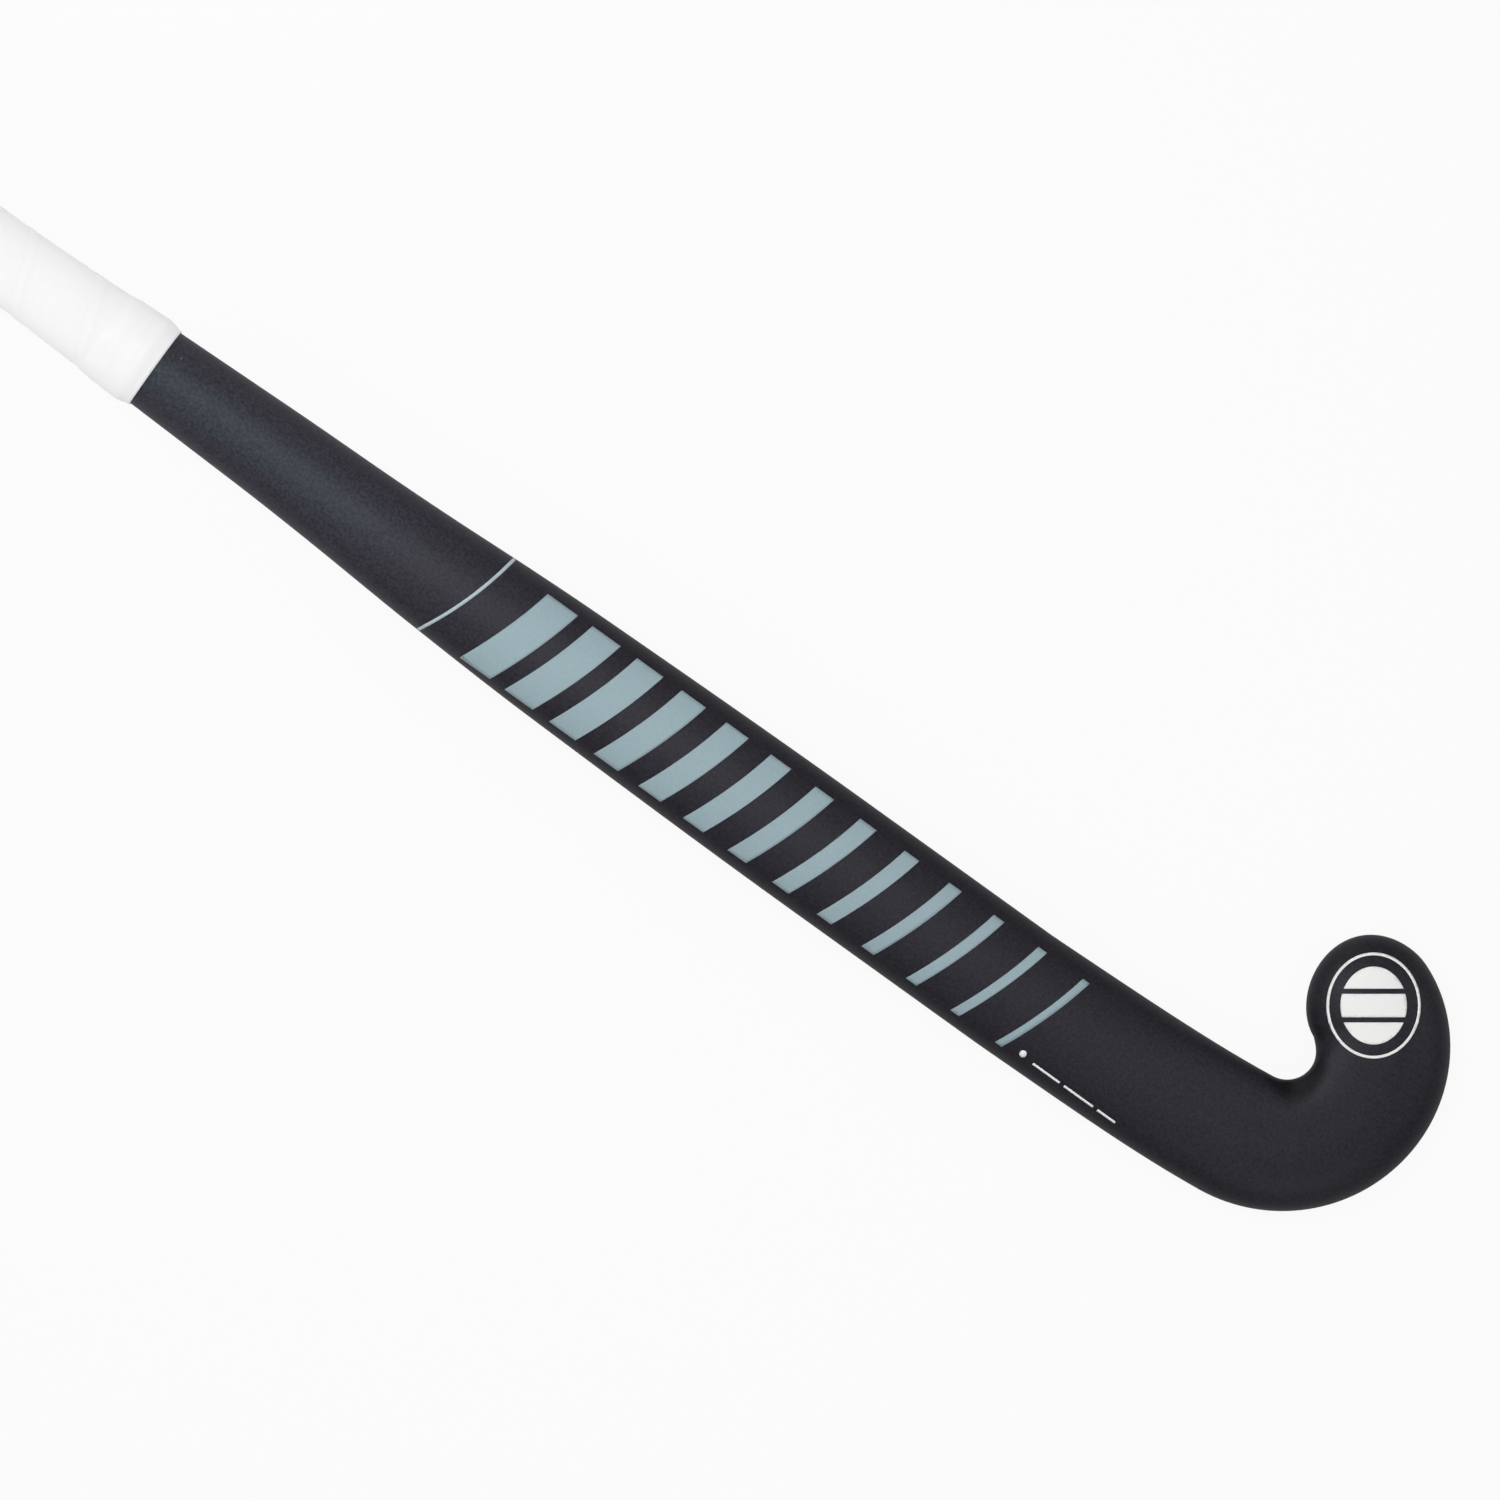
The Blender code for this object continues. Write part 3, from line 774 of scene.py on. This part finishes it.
# Toe badge and small marks, pad-printed in white: a plain oval in a fine outline, and a dot
# with a broken line near the heel edge of the shaft.

BADGE_X = 0.884
BADGE_Y = 0.0716
BADGE_TURN = math.radians(35.7)
BADGE_OUTLINE = (0.0172, 0.0193)
BADGE_INNER = (0.0121, 0.0142)
OUTLINE_WIDTH = 0.0010
BADGE_GAPS = (-0.0052, 0.0052)
GAP_WIDTH = 0.0019
BADGE_SIDES = 72
DOT_RADIUS = 0.0013
DOT_PLACE = (0.7905, -0.0172)
DASHES = ((0.7955, 0.8075), (0.8095, 0.8225), (0.8245, 0.8325))
DASH_HEEL = -0.0184
DASH_TOE = -0.0176

white_ink = ink_material("white_ink", "#f7f6f4", "#fcfcfb")


def oval(bm, half_x, half_y, turn, x, y):
    """A flat oval face about a place on the stick."""
    made = bmesh.ops.create_circle(bm, cap_ends=True, segments=BADGE_SIDES, radius=1.0)["verts"]
    for vert in made:
        a, b = vert.co.x * half_x, vert.co.y * half_y
        vert.co.x = BUTT_X + x + a * math.cos(turn) - b * math.sin(turn)
        vert.co.y = AXIS_Y + y + a * math.sin(turn) + b * math.cos(turn)
    return made[0].link_faces[0]


badge = bmesh.new()
oval(badge, *BADGE_INNER, BADGE_TURN, BADGE_X, BADGE_Y)
across = Vector((-math.sin(BADGE_TURN), math.cos(BADGE_TURN), 0))
centre = Vector((BUTT_X + BADGE_X, AXIS_Y + BADGE_Y, 0))
for gap in BADGE_GAPS:
    for side in (-1, 1):
        bmesh.ops.bisect_plane(
            badge,
            geom=badge.verts[:] + badge.edges[:] + badge.faces[:],
            plane_co=centre + across * (gap + side * GAP_WIDTH / 2),
            plane_no=across,
            dist=WELD,
        )
for face in badge.faces[:]:
    place = (face.calc_center_median() - centre).dot(across)
    if min(abs(place - gap) for gap in BADGE_GAPS) < GAP_WIDTH / 2:
        badge.faces.remove(face)
rim = oval(badge, *BADGE_OUTLINE, BADGE_TURN, BADGE_X, BADGE_Y)
bmesh.ops.inset_region(
    badge, faces=[rim], thickness=OUTLINE_WIDTH, use_even_offset=True, use_boundary=True
)
badge.faces.remove(rim)
printed("toe_badge", laid(in_cells(badge)), white_ink)

marks = bmesh.new()
oval(marks, DOT_RADIUS, DOT_RADIUS, 0.0, *DOT_PLACE)
for start, end in DASHES:
    corners = []
    for x, y in ((start, DASH_HEEL), (end, DASH_HEEL), (end, DASH_TOE), (start, DASH_TOE)):
        corners.append(marks.verts.new((BUTT_X + x, AXIS_Y + y, 0)))
    marks.faces.new(corners)
printed("printed_marks", laid(in_cells(marks)), white_ink)


# Butt cap. Black rubber is moulded over the end of the cane, and its rim keeps the hand from
# slipping off. The mould leaves a dull skin with a soft edge.

dress("butt_cap", sheet_rubber)


# Grip. A strip of cushioned polyurethane is wound from the butt, each turn lapping the thin
# edge of the last. It is white, matt and slightly tacky, with a fine pressed grain that is
# drawn coarser here. Painted shade runs along each lap, as two faint grey lines where the lap's
# edge and slope would fall in shade.

GRIP_CLEARANCE = 0.0003
GRIP_THICKNESS = 0.0010
GRIP_EDGE = 0.00035
GRIP_SKIVE = 0.006
GRIP_PITCH = 0.0295
GRIP_LAP = 0.004
LAP_CLEARANCE = 0.0002
LAST_LAP = 0.3503
GRIP_FROM = 0.0033
GRIP_TO = 0.3817
GRIP_GRAIN = 0.0008
GRAIN_DEPTH = 0.00006
EDGE_ROUNDING = 0.00020
EDGE_RUN = 0.0004
EDGE_EASING = 0.00006
LAP_TOP = 0.0010
LAP_CREST = 0.0026
LAP_SWELL = 0.00004
LAP_END = 0.0042
LAP_SINK = 0.00002
LAP_FOOT = 0.0064
STRIP_MIDDLE = 0.0160
STRIP_CROWN = 0.00008
SKIVE_BLEND = 0.001
SKIVE_DIP = 0.00012
# Painted shade along the laps: how much each place across the strip is darkened, and how dark.
LAP_SHADE_LINES = [(0.0, 0.7), (LAP_TOP, 0.3), (LAP_CREST, 0.0), (LAP_END, 0.5), (LAP_FOOT, 0.0)]
LAP_SHADE_DEPTH = 0.955

polyurethane, shader, here = new_material("pressed_polyurethane", 0.6, 1.48)
shader.inputs["Sheen Weight"].default_value = 0.4
shader.inputs["Sheen Roughness"].default_value = 0.4
grain = add_node(
    polyurethane, "ShaderNodeTexNoise", {"Vector": here, "Scale": 1 / GRIP_GRAIN, "Detail": 2.0}
)
white = add_node(
    polyurethane,
    "ShaderNodeMixRGB",
    {"Fac": grain.outputs["Fac"], "Color1": linear("#eaeaea"), "Color2": linear("#f2f2f2")},
)
# The painted lap shade, kept on the winding's points.
lap_shade = add_node(polyurethane, "ShaderNodeAttribute", {}, attribute_name="lap_shade")
lap_shaded = add_node(
    polyurethane,
    "ShaderNodeMapRange",
    {"Value": lap_shade.outputs["Fac"], "To Min": 1.0, "To Max": LAP_SHADE_DEPTH},
)
lapped_white = add_node(
    polyurethane,
    "ShaderNodeVectorMath",
    {0: white.outputs[0], "Scale": lap_shaded.outputs[0]},
    operation="SCALE",
)
plug(polyurethane, lapped_white.outputs[0], shader, "Base Color")
grip_bump = add_node(
    polyurethane,
    "ShaderNodeBump",
    {"Height": grain.outputs["Fac"], "Distance": GRAIN_DEPTH, "Strength": 0.5},
)
plug(polyurethane, grip_bump.outputs[0], shader, "Normal")

strip = GRIP_PITCH + GRIP_LAP
skived = GRIP_EDGE * GRIP_LAP / GRIP_SKIVE + GRIP_THICKNESS * (1 - GRIP_LAP / GRIP_SKIVE)
lapped = GRIP_CLEARANCE + skived
over_lap = lapped + LAP_CLEARANCE + GRIP_EDGE
under_profile = [
    (0.0, lapped + LAP_CLEARANCE),
    (GRIP_LAP + LAP_CLEARANCE, GRIP_CLEARANCE + GRIP_EDGE + LAP_CLEARANCE),
    (GRIP_LAP + SKIVE_BLEND, GRIP_CLEARANCE),
    (strip, GRIP_CLEARANCE),
]
over_profile = [
    (0.0, over_lap - EDGE_ROUNDING),
    (EDGE_RUN, over_lap - EDGE_EASING),
    (LAP_TOP, over_lap),
    (LAP_CREST, over_lap + LAP_SWELL),
    (LAP_END, over_lap - LAP_SINK),
    (LAP_FOOT, GRIP_CLEARANCE + GRIP_THICKNESS),
    (STRIP_MIDDLE, GRIP_CLEARANCE + GRIP_THICKNESS + STRIP_CROWN),
    (strip - GRIP_SKIVE - SKIVE_BLEND, GRIP_CLEARANCE + GRIP_THICKNESS),
    (strip - GRIP_SKIVE + SKIVE_BLEND, GRIP_CLEARANCE + GRIP_THICKNESS - SKIVE_DIP),
    (strip, GRIP_CLEARANCE + GRIP_EDGE),
]


def straight_through(profile, q):
    """The value at q on straight lines through (place, value) points."""
    for (q0, h0), (q1, h1) in zip(profile, profile[1:]):
        if q <= q1:
            return h0 + (h1 - h0) * (q - q0) / (q1 - q0)
    return profile[-1][1]


round_handle = ring(shaft_cut(HANDLE_END / 2))[::-1]
count = len(round_handle)
sides = [(round_handle[k] - round_handle[(k + 1) % count]).length for k in range(count)]
shares = [sum(sides[:k]) / sum(sides) for k in range(count)]
toe_side = shares[count - 1 - (CORNER_STEPS + CROWN_STEPS)]
wraps = []
for k in range(-math.ceil(GRIP_LENGTH / GRIP_PITCH + 1) * count, 2 * count):
    lead = LAST_LAP + GRIP_PITCH * (k // count + shares[k % count] - toe_side)
    first, last = max(0.0, GRIP_FROM - lead), min(strip, GRIP_TO - lead)
    if last - first < GRIP_LAP / 2:
        continue
    points = []
    for profile, places in ((under_profile, under_profile), (over_profile, over_profile[::-1])):
        for q, _ in places:
            q = min(max(q, first), last)
            proud = straight_through(profile, q)
            points.append(ring(shaft_cut(lead + q), proud)[-1 - k % count])
    wraps.append(points)
# Painted lap shade for each point of a wrap: none on the underside, lines along each lap on the
# outside.
lap_shades = [0.0 for _ in under_profile]
lap_shades += [straight_through(LAP_SHADE_LINES, q) for q, _ in reversed(over_profile)]
winding = drawn(wraps, lap_shades)
bmesh.ops.holes_fill(winding, edges=[edge for edge in winding.edges if edge.is_boundary])
grip = piece("wound_grip", winding, polyurethane, sharp=60)
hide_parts("grip_tape")


# Finishing tape. Stretchy white vinyl is wound over the grip's last turn and drawn down onto
# the shaft, where it is cut square. It is smoother than the grip.

TAPE_FROM = 0.3630
TAPE_BUILT = 0.3712
PRESSED_IN = 0.00022
TAPE_FILM = 0.00013
TAPE_TAPER = 0.006
TAPE_THICKNESS = 0.0003
TAPE_STEP = 0.001
CREASE = 0.0012
CREASE_LENGTH = 0.02
CREASE_DEPTH = 0.00008

vinyl, shader, here = new_material("stretched_vinyl", 0.5, 1.5)
shader.inputs["Sheen Weight"].default_value = 0.4
shader.inputs["Sheen Roughness"].default_value = 0.4
pull = add_node(
    vinyl,
    "ShaderNodeMapping",
    {"Vector": here, "Scale": (1 / CREASE, 1 / CREASE_LENGTH, 1 / CREASE_LENGTH)},
)
creases = add_node(vinyl, "ShaderNodeTexNoise", {"Vector": pull.outputs[0], "Scale": 1.0})
white = add_node(
    vinyl,
    "ShaderNodeMixRGB",
    {"Fac": creases.outputs["Fac"], "Color1": linear("#eaeaea"), "Color2": linear("#f2f2f2")},
)
plug(vinyl, white.outputs[0], shader, "Base Color")
crease_bump = add_node(
    vinyl,
    "ShaderNodeBump",
    {"Height": creases.outputs["Fac"], "Distance": CREASE_DEPTH, "Strength": 0.5},
)
plug(vinyl, crease_bump.outputs[0], shader, "Normal")

outside = over_lap + LAP_CLEARANCE + TAPE_THICKNESS
onto_shaft = GRIP_CLEARANCE + TAPE_THICKNESS


def on_the_grip(x, share):
    """How far the outside of the winding stands proud, at x and a share of the way round."""
    lead = LAST_LAP + GRIP_PITCH * (share - toe_side)
    turns = [x - lead + turn * GRIP_PITCH for turn in range(-2, 3)]
    return max(straight_through(over_profile, q) for q in turns if 0 <= q <= strip)


rings = []
for x in steps(TAPE_FROM, GRIP_LENGTH, TAPE_STEP):
    built = through([(TAPE_FROM, 0.0), (TAPE_BUILT, 1.0)], x)
    drawn_in = through([(GRIP_LENGTH - TAPE_TAPER, 0.0), (GRIP_LENGTH, 1.0)], x)
    points = []
    for k in range(count):
        close = on_the_grip(x, shares[k]) - PRESSED_IN
        proud = close + (outside - close) * built
        proud += (onto_shaft - proud) * drawn_in
        points.append(ring(shaft_cut(x), proud)[-1 - k])
    rings.append(points)
tape = give_wall(piece("finishing_tape_wrap", drawn(rings), vinyl), TAPE_FILM)
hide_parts("finishing_tape")


# Studio. A plain pale floor that the camera sees almost white, soft lamps overhead and a long
# lens, as a product is shot. The camera looks straight down, turned so that the shaft slopes
# down to the right.

FIELD = 0.5460
DISTANCE = 8.0
SHAFT_SLOPE = math.radians(35.72)
TARGET = Vector((0.1818, -0.0216, 0.025))
SENSOR = 36.0
FAR = 20.0
FLOOR_HALF = 6.0
FLOOR_GLOW = 0.92
SKY_LIGHT = 0.14

scene = bpy.context.scene
scene.view_settings.view_transform = "Standard"

paper = bpy.data.materials.new("white_paper_sweep")
paper.use_nodes = True
matt = paper.node_tree.nodes["Principled BSDF"]
matt.inputs["Base Color"].default_value = linear("#d2d2d2")
matt.inputs["Roughness"].default_value = 0.9
glow = add_node(paper, "ShaderNodeEmission", {"Color": (1, 1, 1, 1), "Strength": 1.0})
seen = add_node(paper, "ShaderNodeLightPath", {})
part_seen = add_node(
    paper, "ShaderNodeMath", {0: seen.outputs["Is Camera Ray"], 1: FLOOR_GLOW}, operation="MULTIPLY"
)
both = add_node(
    paper,
    "ShaderNodeMixShader",
    {0: part_seen.outputs[0], 1: matt.outputs[0], 2: glow.outputs[0]},
)
paper.node_tree.links.new(both.outputs[0], paper.node_tree.nodes["Material Output"].inputs[0])
bm = bmesh.new()
bmesh.ops.create_grid(bm, x_segments=1, y_segments=1, size=FLOOR_HALF)
mesh = bpy.data.meshes.new("floor")
bm.to_mesh(mesh)
mesh.materials.append(paper)
floor = bpy.data.objects.new("floor", mesh)
scene.collection.objects.link(floor)

world = bpy.data.worlds.new("studio")
scene.world = world
world.use_nodes = True
sky = world.node_tree.nodes["Background"]
seen = add_node(world, "ShaderNodeLightPath", {})
level = add_node(
    world,
    "ShaderNodeMapRange",
    {"Value": seen.outputs["Is Camera Ray"], "To Min": SKY_LIGHT, "To Max": 1.0},
)
world.node_tree.links.new(level.outputs[0], sky.inputs["Strength"])
sky.inputs["Color"].default_value = (1, 1, 1, 1)

for name, place, aim, size, spread, power in (
    ("strip_over_handle", (-0.05, 0.0, 1.1), (0.15, 0.0, 0.0), (0.35, 1.1), 180, 5.6),
    ("softbox_butt_end", (-1.5, 0.0, 1.6), (0.1, 0.0, 0.0), (0.8, 0.8), 180, 4.5),
    ("softbox_head_heel", (1.7, -1.2, 1.5), (0.4, 0.0, 0.0), (1.6, 1.6), 180, 11.0),
    ("softbox_head_toe", (1.7, 1.2, 1.5), (0.4, 0.0, 0.0), (1.6, 1.6), 180, 11.0),
    ("softbox_heel_side", (-0.3, -1.3, 1.5), (0.1, 0.0, 0.0), (1.0, 1.0), 180, 4.3),
    ("softbox_toe_side", (-0.3, 1.3, 1.5), (0.1, 0.0, 0.0), (1.0, 1.0), 180, 3.2),
    ("grip_light_heel", (-0.35, -0.45, 0.16), (-0.08, 0.0, 0.03), (0.3, 0.3), 80, 0.22),
    ("grip_light_toe", (-0.35, 0.45, 0.16), (-0.08, 0.0, 0.03), (0.3, 0.3), 80, 0.22),
):
    lamp = bpy.data.lights.new(name, "AREA")
    lamp.shape = "RECTANGLE"
    lamp.size, lamp.size_y = size
    lamp.spread = math.radians(spread)
    lamp.energy = power
    box = bpy.data.objects.new(name, lamp)
    box.location = place
    beam = Vector(aim) - box.location
    box.rotation_euler = beam.to_track_quat("-Z", "Y").to_euler()
    box.visible_camera = False
    scene.collection.objects.link(box)

camera = bpy.data.cameras.new("camera")
camera.sensor_width = SENSOR
camera.lens = camera.sensor_width * DISTANCE / FIELD
camera.clip_end = FAR
photographer = bpy.data.objects.new("camera", camera)
scene.collection.objects.link(photographer)
scene.camera = photographer
photographer.rotation_euler.z = SHAFT_SLOPE
photographer.location = TARGET + Vector((0, 0, DISTANCE))
